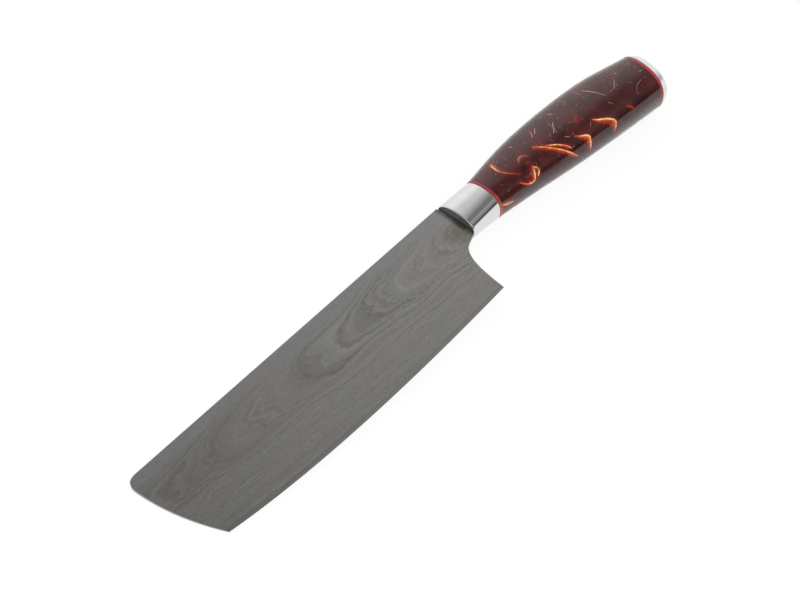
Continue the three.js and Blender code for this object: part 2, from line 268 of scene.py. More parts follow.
def bladeSurface():
    # a patch between edge, spine, front and rear lines: the two mixes of opposite lines added,
    # less the mix of the corners; half the thickness goes each way from it
    b = blade
    front = -b["length"]
    toe = (front + b["toe"][0], b["toe"][1])
    roundEnd = (front + b["frontRake"] * b["frontRound"], -b["frontRound"])
    midDrop = (b["frontRound"] - b["toe"][1]) / 2
    midFront = (front + b["frontRake"] * midDrop, -midDrop)
    corner = ((front + b["spineRound"], 0), (front, 0), roundEnd)
    many, few = b["frontPoints"], b["cornerPoints"]
    spineLine = np.vstack([bezier(*corner, few, 0.5, 0.0), [(0, 0)]])
    frontLine = np.vstack([bezier(toe, midFront, roundEnd, many), bezier(*corner, few, 1.0, 0.5)[1:]])
    edgeLine = bezier(toe, b["belly"], b["heel"], b["edgePoints"])
    rearLine = np.vstack([
        bezier(b["heel"], b["heelBend"], b["choilFoot"], many),
        bezier(b["choilFoot"], b["choilCorner"], b["neck"], few)[1:], [b["shoulder"]], [(0, 0)]])

    s = clusteredSteps(b["length"], b["rimSteps"], b["rimSteps"], b["columns"]) / b["length"]
    bottom, top = evenly(edgeLine, s), evenly(spineLine, s)
    span = np.linalg.norm(top - bottom, axis=1)
    h, near = b["bevelHeight"], b["bevelStep"]
    bevelSteps = (0, h * 0.3, h * 0.6, h - near, h, h + near, h + 5 * near)
    t = clusteredSteps(span, bevelSteps, b["rimSteps"], b["rows"]) / span[:, None]
    t, s = t.T[..., None], np.broadcast_to(s, t.T.shape)[..., None]
    left, right = evenly(frontLine, t[:, 0, 0])[:, None], evenly(rearLine, t[:, -1, 0])[:, None]
    corners = (
        (1 - s) * (1 - t) * bottom[0] + s * (1 - t) * bottom[-1]
        + (1 - s) * t * top[0] + s * t * top[-1])
    flat = (1 - t) * bottom + t * top + (1 - s) * left + s * right - corners

    wall = np.minimum(np.linalg.norm(flat - flat[:, :1], axis=2), np.linalg.norm(flat - flat[:, -1:], axis=2))
    wall = np.minimum(wall, np.linalg.norm(flat - flat[-1:], axis=2))
    short = b["ease"] - np.clip(wall, 0, b["ease"])
    eased = bladeHalf(flat[..., 1]) - b["ease"] + np.sqrt(b["ease"] ** 2 - short ** 2)
    rise = np.clip((flat[..., 1] - flat[:1, :, 1]) / h, 0, 1)
    ground = b["edgeHalf"] + (bladeHalf(flat[..., 1]) - b["edgeHalf"]) * rise
    half = np.minimum(eased.clip(b["edgeHalf"]), ground)

    rows, columns = half.shape
    upper = np.dstack([flat, half]).reshape(-1, 3)
    lower = upper * (1, 1, -1)
    number = np.arange(rows * columns).reshape(rows, columns)
    rim = np.concatenate([number[0, :-1], number[:-1, -1], number[-1, :0:-1], number[:0:-1, 0]])
    after = np.roll(rim, -1)
    off = rows * columns
    face = quadsOfGrid(rows, columns)
    walls = np.stack([rim, rim + off, after + off, after], -1)
    return np.vstack([upper, lower]), np.vstack([face, face[:, ::-1] + off, walls]).tolist()


def bevelShare(points):
    # 1 where the blade is thinner than its flat faces would be, which is the bevel and the eased rims
    thin = bladeHalf(points[:, 1]) - np.abs(points[:, 2])
    return thin > blade["thinner"]


def tangShell(rootMiddle, way):
    # a flat bar along the tang's line that narrows to its end, as thick as the blade at its height
    b = blade
    across = np.array([-way[1], way[0]])
    run = np.array([-b["tangLap"], 0.0, b["tangLength"]])[:, None]
    high = np.array([b["tangRootHeight"], b["tangRootHeight"], b["tangEndHeight"]])[:, None] / 2
    line = rootMiddle + run * way
    upper, lower = line + high * across, line - high * across
    ring = np.stack([upper, upper, lower, lower], 1)
    half = bladeHalf(ring[..., 1:]) * np.array([-1, 1, 1, -1])[:, None]
    return closedLoft(np.concatenate([ring, half], 2))


# Grip: top line, bottom line and half thickness at even steps
grip = {
    "start": 17.0, "length": 104.5, "ovalPower": 2.4, "buttTilt": 9.4,
    "stations": [
        (-1.5, -21.5, 8.3), (1.6, -25.1, 9.4), (1.7, -29.0, 10.4), (-0.5, -32.1, 11.0), (-6.6, -34.7, 11.3)],
    "around": 220, "rimSteps": 4,
    "slopeStep": (0.2, 0.02),        # mm along and radians round, to find which way the skin faces
}
aroundAngles = np.linspace(0, 2 * np.pi, grip["around"], endpoint=False)


def ovalPoints(x, top, bottom, half, tilt, angle, inset=0.0):
    # superellipse section, its upright leaning back by tilt: angle 0 on top, 90 degrees on the upper side
    power = 2 / grip["ovalPower"]
    rise = ((top - bottom) / 2 - inset) * signedPower(np.cos(angle), power)
    side = (half - inset) * signedPower(np.sin(angle), power)
    middle = (top + bottom) / 2
    return np.stack(np.broadcast_arrays(x + rise * np.sin(tilt), middle + rise * np.cos(tilt), side), -1)


def gripSkin(along, angle, inset=0.0):
    # point of the skin at mm along the grip and an angle round it
    share = np.asarray(along, float) / grip["length"]
    top, bottom, half = np.moveaxis(throughPoints(grip["stations"], share), -1, 0)
    tilt = np.radians(share * grip["buttTilt"])
    return ovalPoints(grip["start"] + along, top, bottom, half, tilt, angle, inset)


def easedRun(start, end, count, ease, rimSteps):
    # places from start to end and how deep each is sunk: even between, with a quarter round at both rims
    arc = np.linspace(0, np.pi / 2, rimSteps)
    rim, sunk = ease * (1 - np.cos(arc)), ease * (1 - np.sin(arc))
    between = np.linspace(start + ease, end - ease, count + 2)[1:-1]
    places = np.concatenate([start + rim, between, end - rim[::-1]])
    return places, np.concatenate([sunk, np.zeros(count), sunk[::-1]])


def gripSlice(start, end, count, ease, angles=aroundAngles):
    # a length of the grip with eased rims
    along, inset = easedRun(start, end, count, ease, grip["rimSteps"])
    return closedLoft(gripSkin(along[:, None], angles, inset[:, None]))


buttLean = np.radians(grip["buttTilt"])
buttOut = np.array([np.cos(buttLean), -np.sin(buttLean), 0])
buttMiddle = gripSkin(grip["length"], np.array([0, np.pi])).mean(0)

# Bolster, spacers, cap and handle
bolster = {
    "length": 17.0, "front": (-0.6, -21.0, 6.6), "ease": 0.4, "glueLine": 0.06, "steps": 32, "rimSteps": 7}
spacer = {"thickness": 1.4, "glueLine": 0.06, "ease": 0.05, "steps": 2}
cap = {
    "thickness": 4.0, "glueLine": 0.06, "taper": 0.9, "rim": 1.6, "seamEase": 0.08,
    "rimSteps": 12, "faceRings": 4}
handle = {
    "ease": 0.05, "steps": 300, "around": 310,
    # painted glow of a shaving: how far below its crest, reach, both in widths, more reach in mm, and peak
    "glow": (
        # the first, over the crest, is a painted glint
        (0.0, 0.14, 0.3, 1.2), (0.35, 0.35, 0.35, 0.6), (0.75, 0.45, 0.45, 0.45), (0.3, 0.8, 0.9, 0.28)),
    "glowAtSkin": 1.2, "glowLost": 0.5,      # at the skin, and for each mm below it
    "glowMargin": 4.0,                       # mm round a shaving that it may light
}


def bolsterSurface():
    # straight mix of the front oval and the grip's first oval, both rims rounded
    b = bolster
    x, inset = easedRun(b["glueLine"], b["length"], b["steps"], b["ease"], b["rimSteps"])
    share = (x / b["length"])[:, None]
    top, bottom, half = ((1 - share) * b["front"][k] + share * grip["stations"][0][k] for k in range(3))
    return closedLoft(ovalPoints(x[:, None], top, bottom, half, 0.0, aroundAngles, inset[:, None]))


def capSurface():
    # the butt's oval carried out along the butt's own direction: a wall that leans in, then a round rim
    thick, rim, seam = cap["thickness"], cap["rim"], cap["seamEase"]
    wallLean = np.arctan2(cap["taper"], thick - rim)
    arc = np.linspace(wallLean, np.pi / 2, cap["rimSteps"])
    out = np.concatenate([[cap["glueLine"], cap["glueLine"] + seam], thick - rim * (1 - np.sin(arc))])
    inset = np.concatenate([[seam, 0], cap["taper"] + rim * (np.cos(wallLean) - np.cos(arc))])
    rings = gripSkin(np.full((len(out), 1), grip["length"]), aroundAngles, inset[:, None])
    flatSteps = np.linspace(1, 0, cap["faceRings"] + 2)[1:-1, None, None]
    middle = rings[-1].mean(0)
    inner = middle + (rings[-1] - middle) * flatSteps
    rings = np.concatenate([rings, inner])
    out = np.concatenate([out, np.full(len(inner), thick)])
    return closedLoft(rings + out[:, None, None] * buttOut)


# Copper shavings: each has a shine, the strength of the painted glow it gives the resin, 0 for a bare
# thread at the skin, and its crest's points (mm along the grip, degrees round it, depth, width), all but the
# second in mm
shaving = {
    "steps": 44, "across": 10, "thickness": 0.14, "curl": 0.5, "overCrest": -0.3, "leastWidth": 0.2,
    "near": [
        (1.0, [(62.8, 117, 1.3, 0.7), (65.0, 124, 0.5, 1.2), (68.6, 132, 0.25, 2.0), (71.9, 143, 0.2, 2.6),
            (72.6, 154, 0.3, 2.0), (70.8, 170, 1.0, 0.8)]),
        (0.95, [(50.4, 124, 1.2, 0.6), (52.6, 130, 0.7, 1.2), (54.8, 135, 0.35, 2.2), (56.4, 142, 0.3, 2.8),
            (56.0, 153, 0.1, 2.4), (55.4, 165, 0.2, 1.2), (55.2, 171, 0.8, 0.6)]),
        (0.9, [(31.9, 93, 0.9, 1.0), (35.0, 104, 0.5, 1.5), (38.8, 121, 0.35, 1.4), (41.6, 135, 0.25, 1.3),
            (43.8, 148, 0.2, 1.2), (46.2, 163, 0.6, 0.8), (47.0, 169, 1.2, 0.5)]),
        (0.95, [(14.2, 136, 1.2, 0.7), (15.7, 145, 0.8, 1.0), (18.1, 154, 0.5, 1.2), (20.8, 156, 0.3, 1.6),
            (22.0, 149, 0.2, 1.8), (23.2, 136, 0.2, 1.6), (24.4, 123, 0.35, 0.8)]),
        (0.85, [(12.7, 60, 0.5, 0.6), (12.0, 68, 0.2, 1.2), (11.4, 78, 0.2, 1.3), (11.4, 86, 0.4, 1.0),
            (12.4, 95, 0.8, 0.7), (14.4, 106, 1.1, 0.5), (17.4, 120, 1.5, 0.3)]),
        (1.0, [(1.8, 162, 0.4, 0.9), (3.4, 167, 0.15, 1.3), (5.4, 170, 0.2, 1.0), (8.4, 174, 0.9, 0.4)]),
        (0.5, [(20.9, 98, 0.8, 0.8), (22.8, 93, 0.5, 1.4), (25.2, 94, 0.5, 1.5), (26.9, 102, 0.9, 0.8)]),
        (0.42, [(82.0, 135, 0.8, 1.4), (83.4, 142, 0.5, 2.6), (85.0, 150, 0.8, 1.4)]),
        (0, [(90.4, 130, -0.02, 0.25), (91.6, 119, -0.04, 0.4), (94.0, 112, -0.04, 0.4),
            (97.0, 109, -0.02, 0.25)]),
        (0, [(72.1, 69, -0.03, 0.4), (73.8, 79, -0.05, 0.6), (75.4, 87, -0.04, 0.5),
            (77.6, 98, -0.02, 0.25)]),
        (0, [(48.8, 84, -0.03, 0.3), (46.6, 90, -0.05, 0.45), (44.2, 96, -0.03, 0.3)]),
    ],
    # thin pieces beside them
    "extra": [
        (0.85, [(36.5, 105, 0.6, 0.6), (39.2, 112, 0.35, 1.0), (41.5, 119, 0.25, 1.0), (44.0, 130, 0.3, 1.0),
            (45.4, 140, 0.6, 0.6)]),
        (0.95, [(24.6, 125, 0.3, 0.5), (25.7, 134, 0.2, 0.9), (25.2, 142, 0.25, 0.9), (23.8, 150, 0.4, 0.5)]),
        (0, [(46.4, 113, -0.03, 0.4), (47.3, 116, -0.05, 0.6), (48.3, 119, -0.03, 0.4)]),
        (0, [(50.2, 123, -0.03, 0.35), (51.2, 126, -0.05, 0.55), (52.2, 129, -0.03, 0.35)]),
        (0, [(38.0, 81, -0.02, 0.3), (39.4, 76, -0.05, 0.4), (40.8, 71, -0.02, 0.3)]),
        (0, [(35.6, 84, -0.02, 0.3), (37.0, 78, -0.04, 0.4), (38.0, 70, -0.02, 0.3)]),
        (0, [(83.3, 96, -0.02, 0.3), (84.9, 92, -0.04, 0.4), (86.4, 88, -0.02, 0.3)]),
        (0, [(51.0, 64, -0.02, 0.35), (51.7, 68, -0.05, 0.6), (52.4, 71, -0.02, 0.35)]),
        (0, [(25.2, 64, -0.02, 0.35), (25.8, 67, -0.05, 0.6), (26.2, 70, -0.02, 0.35)]),
        (0, [(89.9, 77, -0.02, 0.35), (90.6, 77, -0.05, 0.6), (91.4, 78, -0.02, 0.35)]),
        (0, [(99.2, 94, -0.02, 0.35), (100.0, 95, -0.05, 0.5), (100.9, 95, -0.02, 0.35)]),
        (0.32, [(53.4, 96, 0.6, 0.4), (55.6, 101, 0.4, 0.8), (58.6, 97, 0.5, 0.7)]),
        (0.28, [(56.0, 106, 0.6, 0.4), (58.0, 102, 0.4, 0.7), (60.0, 104, 0.6, 0.4)]),
        (0, [(21.6, 95, -0.02, 0.3), (23.2, 92, -0.04, 0.45), (24.8, 93, -0.02, 0.3)]),
        (0, [(25.6, 135, -0.03, 0.4), (26.1, 137, -0.06, 0.8), (26.5, 140, -0.03, 0.4)]),
        (0.3, [(18.6, 134, 1.0, 1.4), (19.8, 141, 0.8, 2.2), (20.8, 148, 1.0, 1.4)]),
        (0.24, [(28.9, 120, 0.8, 0.7), (30.0, 124, 0.6, 1.2), (31.2, 128, 0.8, 0.7)]),
        (0.3, [(23.6, 106, 0.9, 1.2), (24.8, 112, 0.7, 2.0), (25.6, 119, 0.9, 1.2)]),
    ],
}
filament = {
    "count": 300, "steps": 9, "seed": 11, "length": (2.0, 6.0), "half": (0.05, 0.11), "tip": 0.05,
    "along": (4, 100), "limits": (2.5, 102), "depth": (-0.03, 0.05), "endDepth": 1.0, "mmPerDegree": 0.22,
    # two headings in degrees, the share of the first, their spread, and the bend in radians
    "heading": (-42, 45), "firstShare": 0.7, "spread": 26, "bend": 1.0,
    # degrees round the grip where they start, and the share that starts low
    "upper": (25, 106), "lower": (106, 146), "lowerShare": 0.08,
}


def bothSides(guides):
    # the far side is the near side turned end for end
    turned = [
        (shine, [(grip["length"] - a, d + 180, *rest) for a, d, *rest in line])
        for shine, line in guides]
    return guides + turned


allShavings, allExtra = bothSides(shaving["near"]), bothSides(shaving["extra"])


def skinFrame(along, degrees):
    # outward direction of the skin, from its slopes along and round the grip
    angle = np.radians(degrees)
    ahead, aside = grip["slopeStep"]
    slopeAlong = gripSkin(along + ahead, angle) - gripSkin(along - ahead, angle)
    slopeRound = gripSkin(along, angle + aside) - gripSkin(along, angle - aside)
    return unit(np.cross(slopeRound, slopeAlong))


def shavingLine(line):
    # crest line under the skin, its depth and width, and the inside of its bend, to which the strip falls
    at = np.linspace(0, 1, shaving["steps"])
    along, degrees, depth, width = np.moveaxis(throughPoints(line, at), -1, 0)
    outward = skinFrame(along, degrees)
    middle = gripSkin(along, np.radians(degrees)) - depth[:, None] * outward
    below = unit(np.cross(outward, unit(np.gradient(middle, axis=0))))
    below *= np.sign(np.sum(below * ((middle[0] + middle[-1]) / 2 - middle)))
    return middle, outward, depth, np.maximum(width, shaving["leastWidth"]), below


def shavingSurface(line):
    # a curled strip: its crest follows the line, and it falls away on both sides as a parabola,
    # most of it below
    middle, outward, depth, width, below = shavingLine(line)
    u = np.linspace(shaving["overCrest"], 1 + shaving["overCrest"], shaving["across"])
    u = np.concatenate([u, u[::-1]])
    under = np.repeat([0.0, shaving["thickness"]], shaving["across"])
    drop = shaving["curl"] * u ** 2 * width[:, None] + under
    sideways = (u * width[:, None])[..., None] * below[:, None]
    ring = middle[:, None] + sideways - drop[..., None] * outward[:, None]
    return closedLoft(ring)


def copperTintAndPaintedGlow(points):
    # copper tint with painted glow: 1 over a shaving's crest, a painted glint, and less over its body,
    # falling off as a bell with the distance
    glow = np.zeros(len(points), np.float32)
    margin = handle["glowMargin"]
    for shine, line in allShavings + allExtra:
        middle, outward, depth, width, below = shavingLine(line)
        crest = middle + outward * depth[:, None]
        close = (points > crest.min(0) - margin) & (points < crest.max(0) + margin)
        near = np.flatnonzero(close.all(axis=1))
        strength = shine * np.clip(handle["glowAtSkin"] - handle["glowLost"] * depth, 0, 1)
        for offset, reach, least, peak in handle["glow"]:
            spot = crest + below * (offset * width)[:, None]
            gap = np.linalg.norm(points[near, None] - spot, axis=2)
            bell = peak * strength * np.exp(-(gap / (reach * width + least)) ** 2)
            glow[near] = np.maximum(glow[near], bell.max(1))
    return glow


def joined(surfaces):
    # several surfaces as one, the corner numbers of each moved on by the points before it
    starts = np.cumsum([0] + [len(points) for points, faces in surfaces])
    faces = [[k + start for k in face] for start, (points, some) in zip(starts, surfaces) for face in some]
    return np.vstack([points for points, some in surfaces]), faces


def filamentSurface():
    # thin four-sided wires, each bent along its own arc under the skin, all worked out at once
    f = filament
    count, steps = f["count"], f["steps"]
    rng = np.random.default_rng(f["seed"])
    pick = lambda low, high: rng.uniform(low, high, (count, 1))
    at = np.linspace(-0.5, 0.5, steps)
    length = pick(*f["length"])
    heading = np.where(pick(0, 1) < f["firstShare"], *f["heading"]) + rng.normal(0, f["spread"], (count, 1))
    heading = np.radians(heading) + pick(-f["bend"], f["bend"]) * at
    step = length / (steps - 1)
    along = pick(*f["along"]) + np.cumsum(np.cos(heading) * step, 1) - length / 2 * np.cos(heading[:, :1])
    along = np.clip(along, *f["limits"])
    start = np.where(pick(0, 1) < f["lowerShare"], pick(*f["lower"]), pick(*f["upper"]))
    start = start + np.where(pick(0, 1) < 0.5, 0, 180)       # near or far side
    degrees = start + np.cumsum(np.sin(heading) * step, 1) / f["mmPerDegree"]
    depth = pick(*f["depth"]) + pick(0, f["endDepth"]) * (2 * at) ** 2
    outward = skinFrame(along, degrees)
    middle = gripSkin(along, np.radians(degrees)) - depth[..., None] * outward
    across = unit(np.cross(unit(np.gradient(middle, axis=1)), outward))
    half = (pick(*f["half"]) * np.sqrt(np.clip(1 + f["tip"] - (2 * at) ** 2, 0, 1)))[..., None]
    ring = np.stack([middle + half * way for way in (outward, across, -outward, -across)], 2)
    ends = [[3, 2, 1, 0], [4 * steps - 4 + k for k in range(4)]]
    one = np.vstack([quadsOfGrid(steps, 4, True), ends])
    faces = (one[None] + (np.arange(count) * 4 * steps)[:, None, None]).reshape(-1, 4)
    return ring.reshape(-1, 3), faces.tolist()


# Finishes: noise in cells per mm, relief as its strength and its depth in mm
bladeEtch = {
    # arches of the grain: axis, half height, softness, layer spacing, layers and their run,
    # and x and tone of each arch
    "axis": -16.0, "archHalf": 8.0, "archSoft": 1.8, "layerStep": 1.3, "layers": 9.0, "run": 180.0,
    "arches": (
        (-178, 0.0), (-175, -0.4), (-168.5, -0.4), (-167, -0.04), (-164, -0.1), (-162.5, -0.3), (-152, -0.3),
        (-146, -0.1), (-138, 0.0), (-124, -0.05), (-118, -0.14), (-98, -0.14), (-94.5, -0.24), (-92.5, 0.0),
        (-83, 0.0), (-79.5, -0.26), (-66, -0.25), (-60, -0.12), (-50, -0.14), (-44, -0.04), (-30, -0.06),
        (-14, -0.1), (-6, -0.4)),
    "archFade": (7.5, 11, 1.0, 0.25),                        # mm from the axis, and the share left there
    # noises: cells, detail, roughness, distortion and offset; along the layers, cells and detail
    "slow": ((0.03, 0.1, 0.1), 3.0, 0.5), "wide": ((0.05, 0.12, 0.12), 3.0, 0.55, 0.0, (3, 9, 0)),
    "fine": ((0.12, 0.5, 0.5),), "clouds": ((0.05, 0.1, 0.1), 3.0, 0.6, 0.0, (11, 5, 0)),
    "grain": ((0.8, 1.6, 1.6), 3.0, 0.7), "tint": ((0.05, 0.09, 0.09), 2.0, 0.5, 0.0, (7, 3, 0)),
    "scratch": ((0.25, 14.0, 14.0), 2.0), "lines": (1.4, 5.0), "layerTint": (0.6, 1.0),
    "bendX": (26.0, 9.0), "bendY": (8.0, 2.0),               # mm that the broad and the fine noise move it
    # depth of the etched lines by height, then how clouds change it, the lines' share and the grain's
    "depthFrom": -50.0,
    "depths": ((-43, 0.7), (-35, 1.0), (-30, 1.4), (-25, 1.3), (-21, 0.95), (-9, 0.95), (-3, 0.25)),
    "cloudDepth": (0.7, 1.5), "lineDepth": 1.9, "grainDepth": (-0.24, 0.32),
    "tones": (
        (0.0, (0.219, 0.205, 0.187)), (0.25, (0.26, 0.248, 0.232)), (0.55, (0.302, 0.294, 0.28)),
        (1.0, (0.351, 0.348, 0.338))),
    "tints": ((0.35, (0.96, 1.0, 0.94)), (0.5, (1, 1, 1)), (0.65, (1.06, 0.98, 0.95))),
    # heights of the band by the spine, its tint and the least painted shade there, then the painted shade
    # along the blade
    "spineBand": (-10, -5), "spineTint": (0.965, 0.985, 1.035), "spinePaintedShade": 0.89,
    "paintedShadeAlong": ((-162, 0.8), (-140.4, 0.85), (-108, 0.9), (-59.4, 0.95), (-18, 1.0)),
    # painted shade on the blade where it meets the bolster
    "shoulderShade": (-2.4, -0.2, 1.0, 0.4),                         # x at the shoulder, and the shade there
    "bevelFade": (-6, -4, 1.0, 0.2), "bevelTone": (0.43, 0.426, 0.417, 1), "bevelRough": 0.12,
    "roughness": (0.4, 0.32), "scratchRough": 0.08, "scratchRelief": 0.5, "relief": (0.5, 0.012),
}


def bladeSteelFinish():
    b = bladeEtch
    material, tree, shader = newMaterial("bladeSteel")
    spot = knifeCoordinates(tree)
    x, y, z = addNode(tree, "ShaderNodeSeparateXYZ", {0: spot}).outputs
    # blunt arches of grain, one behind the other, that open towards the heel: the layer number grows with x,
    # less a line in the distance from the axis that starts softly, and noise bends both
    slow = noise(tree, spot, *b["slow"])
    wide = noise(tree, spot, *b["wide"])
    fine = noise(tree, spot, *b["fine"])
    (wideX, fineX), (slowY, fineY) = b["bendX"], b["bendY"]
    bentX = mathNode(tree, "SUBTRACT", x, (wideX + fineX) / 2)
    bentX = weighted(tree, bentX, (fine, fineX), (wide, wideX))
    bentY = mathNode(tree, "SUBTRACT", y, (slowY + fineY) / 2 + b["axis"])
    bentY = weighted(tree, bentY, (fine, fineY), (slow, slowY))
    fromAxis = mathNode(tree, "ABSOLUTE", bentY)
    past = mathNode(tree, "DIVIDE", mathNode(tree, "SUBTRACT", fromAxis, b["archHalf"]), b["archSoft"])
    past = mathNode(tree, "LOGARITHM", mathNode(tree, "ADD", mathNode(tree, "EXPONENT", past), 1.0), np.e)
    layers = rangeOf(tree, bentX, -b["run"], 0, 0, b["layers"])
    layers = weighted(tree, layers, (past, -b["archSoft"] / b["layerStep"]))
    lines = layerNoise(tree, layers, *b["lines"])
    share = mathNode(tree, "DIVIDE", layers, b["layers"])
    arches = ramp(tree, share, [(1 + place / b["run"], (0.5 + tone,) * 3) for place, tone in b["arches"]])
    # the etch fades in and out, is faint by the spine and towards the edge, and has a fine grain of its own
    clouds = noise(tree, spot, *b["clouds"])
    depth = toneAlong(tree, y, b["depthFrom"], b["depths"])
    depth = mathNode(tree, "MULTIPLY", depth, rangeOf(tree, clouds, 0.35, 0.65, *b["cloudDepth"]))
    depth = mathNode(tree, "MULTIPLY", depth, b["lineDepth"])
    grain = noise(tree, spot, *b["grain"])
    etch = weighted(
        tree, rangeOf(tree, grain, 0.2, 0.8, *b["grainDepth"]),
        (mathNode(tree, "SUBTRACT", lines, 0.5), depth),
        (mathNode(tree, "SUBTRACT", arches, 0.5), rangeOf(tree, fromAxis, *b["archFade"])))
    etch = mathNode(tree, "ADD", etch, 0.5)
    colour = ramp(tree, etch, b["tones"])
    # whole layers lean to brown or to green
    tint = mathNode(tree, "ADD", noise(tree, spot, *b["tint"]), layerNoise(tree, layers, *b["layerTint"]))
    tint = mathNode(tree, "MULTIPLY", tint, 0.5)
    colour = mixColours(tree, 1.0, colour, ramp(tree, tint, b["tints"]), "MULTIPLY")
    # the band by the spine is plain grey and takes little painted shade, painted shade darkens the front,
    # the ground bevel is a little brighter and rougher, and painted shade darkens the shoulder by the bolster
    spineSide = rangeOf(tree, y, *b["spineBand"], 0, 1)
    cool = ramp(tree, spineSide, [(0.0, (1, 1, 1)), (1.0, b["spineTint"])])
    colour = mixColours(tree, 1.0, colour, cool, "MULTIPLY")
    bevel = addNode(tree, "ShaderNodeAttribute", attribute_name="bevel").outputs["Fac"]
    bevel = mathNode(tree, "MULTIPLY", bevel, rangeOf(tree, y, *b["bevelFade"]))
    colour = mixColours(tree, bevel, colour, b["bevelTone"])
    # painted shade: darker towards the front, in place of the light falling off along the blade
    paintedShade = toneAlong(tree, x, -b["run"], b["paintedShadeAlong"])
    paintedShade = mathNode(tree, "MAXIMUM", paintedShade, mathNode(tree, "MULTIPLY", spineSide, b["spinePaintedShade"]))
    # painted shade at the shoulder, where the blade meets the bolster
    paintedShade = mathNode(tree, "MULTIPLY", paintedShade, rangeOf(tree, x, *b["shoulderShade"]))
    grey = addNode(tree, "ShaderNodeCombineColor", {k: paintedShade for k in range(3)}).outputs[0]
    colour = mixColours(tree, 1.0, colour, grey, "MULTIPLY")
    scratch = noise(tree, spot, *b["scratch"])
    rough = rangeOf(tree, etch, 0.0, 1.0, *b["roughness"])
    rough = weighted(tree, rough, (scratch, b["scratchRough"]), (bevel, b["bevelRough"]))
    fillSockets(tree, shader, {"Base Color": colour, "Roughness": rough, "Metallic": 1.0})
    bump(tree, shader, weighted(tree, etch, (scratch, b["scratchRelief"])), *b["relief"])
    return material


# Other metals: cells, detail, roughness and distortion of two noises, one for the colour and one of
# fine lines; the lines' span and the roughness that it gives
copperLook = {
    "cloud": (0.5,), "lines": (3.0, 3.0, 0.6, 1.0), "span": (0.2, 0.8), "roughness": (0.26, 0.46),
    "relief": (0.35, 0.03)}
metalLooks = {
    "polishedSteel": {
        "cloud": (0.2,), "lines": ((6.0, 0.25, 0.25), 2.0), "span": (0.25, 0.75), "roughness": (0.05, 0.1),
        "relief": (0.12, 0.004), "tones": ((0.3, (0.7, 0.7, 0.705)), (0.7, (0.76, 0.76, 0.765)))},
    "plainSteel": {
        "cloud": (0.3, 2.0, 0.5), "lines": ((2.5, 0.4, 0.4),), "span": (0.2, 0.8), "roughness": (0.28, 0.5),
        "relief": (0.3, 0.02), "tones": ((0.3, (0.5, 0.5, 0.51)), (0.7, (0.62, 0.62, 0.63)))},
    "copperSwarf": {
        **copperLook,
        "tones": ((0.3, (0.97, 0.66, 0.38)), (0.55, (1.0, 0.8, 0.52)), (0.75, (1.0, 0.88, 0.64)))},
    "copperThread": {
        **copperLook,
        "tones": ((0.3, (0.52, 0.3, 0.28)), (0.55, (0.63, 0.41, 0.39)), (0.75, (0.75, 0.52, 0.48)))},
}


def metalFinish(name, look):
    material, tree, shader = newMaterial(name)
    spot = knifeCoordinates(tree)
    cloud, lines = noise(tree, spot, *look["cloud"]), noise(tree, spot, *look["lines"])
    fillSockets(tree, shader, {
        "Base Color": ramp(tree, cloud, look["tones"]), "Metallic": 1.0,
        "Roughness": rangeOf(tree, lines, *look["span"], *look["roughness"])})
    bump(tree, shader, lines, *look["relief"])
    return material


spacerLook = {
    # painted glow by height on the front one, x that parts the two, painted glow of the rear one,
    # and what a cloudy noise adds
    "low": (-17, -21, 0, 1), "rearFrom": 60.0, "rearPaintedGlow": 0.4, "cloud": 0.5, "clouding": (-0.15, 0.25),
    "tones": ((0.0, (0.26, 0.014, 0.028)), (0.5, (0.36, 0.028, 0.028)), (1.0, (0.44, 0.08, 0.04))),
    "roughness": (0.18, 0.3), "relief": (0.1, 0.01),
}


def redSpacerFinish():
    # crimson, with painted orange glow low on the front spacer and a fainter painted glow all over the rear
    # one
    look = spacerLook
    material, tree, shader = newMaterial("redSpacer")
    spot = knifeCoordinates(tree)
    x, y, z = addNode(tree, "ShaderNodeSeparateXYZ", {0: spot}).outputs
    cloud = noise(tree, spot, look["cloud"])
    inFront = mathNode(tree, "LESS_THAN", x, look["rearFrom"])
    behind = mathNode(tree, "GREATER_THAN", x, look["rearFrom"])
    # painted glow: orange low on the front spacer and fainter on the rear one, over a cloudy tone
    toneAndPaintedGlow = weighted(
        tree, rangeOf(tree, cloud, 0.3, 0.7, *look["clouding"]),
        (rangeOf(tree, y, *look["low"]), inFront), (behind, look["rearPaintedGlow"]))
    fillSockets(tree, shader, {
        "Base Color": ramp(tree, toneAndPaintedGlow, look["tones"]),
        "Roughness": rangeOf(tree, cloud, 0.2, 0.8, *look["roughness"])})
    bump(tree, shader, cloud, *look["relief"])
    return material


resinLook = {
    # noises: cells, detail, roughness, distortion and offset
    "cloud": ((0.09, 0.12, 0.12), 4.0, 0.6, 0.8), "swirl": ((0.3, 0.4, 0.4), 3.0, 0.6, 0.0, (5, 1, 2)),
    "streak": (0.5, 4.0, 0.65, 0.6), "streaks": (0.62, 1.15),
    "deep": ((0.32, (0.14, 0.015, 0.014)), (0.5, (0.3, 0.03, 0.027)), (0.7, (0.48, 0.055, 0.047))),
    # colour and clearness by the copper's tint and painted glow, pale yellow at the top as a painted glint
    "tintAndPaintedGlow": (
        (0.0, (0.3, 0.025, 0.02)), (0.2, (0.38, 0.018, 0.012)), (0.4, (0.62, 0.04, 0.008)),
        (0.6, (0.9, 0.17, 0.02)), (0.8, (1.0, 0.55, 0.15)), (0.95, (1.0, 0.88, 0.52))),
    "clear": ((0.0, 0.86), (0.2, 0.74), (0.4, 0.46), (0.6, 0.38), (0.8, 0.32), (0.95, 0.24)),
    "paintedGlowFrom": (0.05, 0.35), "roughness": (0.03, 0.075), "relief": (0.06, 0.02),
    "gloss": {"IOR": 1.55, "Specular IOR Level": 0.65, "Sheen Weight": 0.9, "Sheen Roughness": 0.3},
    "depthColour": (0.74, 0.2, 0.0, 1), "depthDensity": 500.0,
}


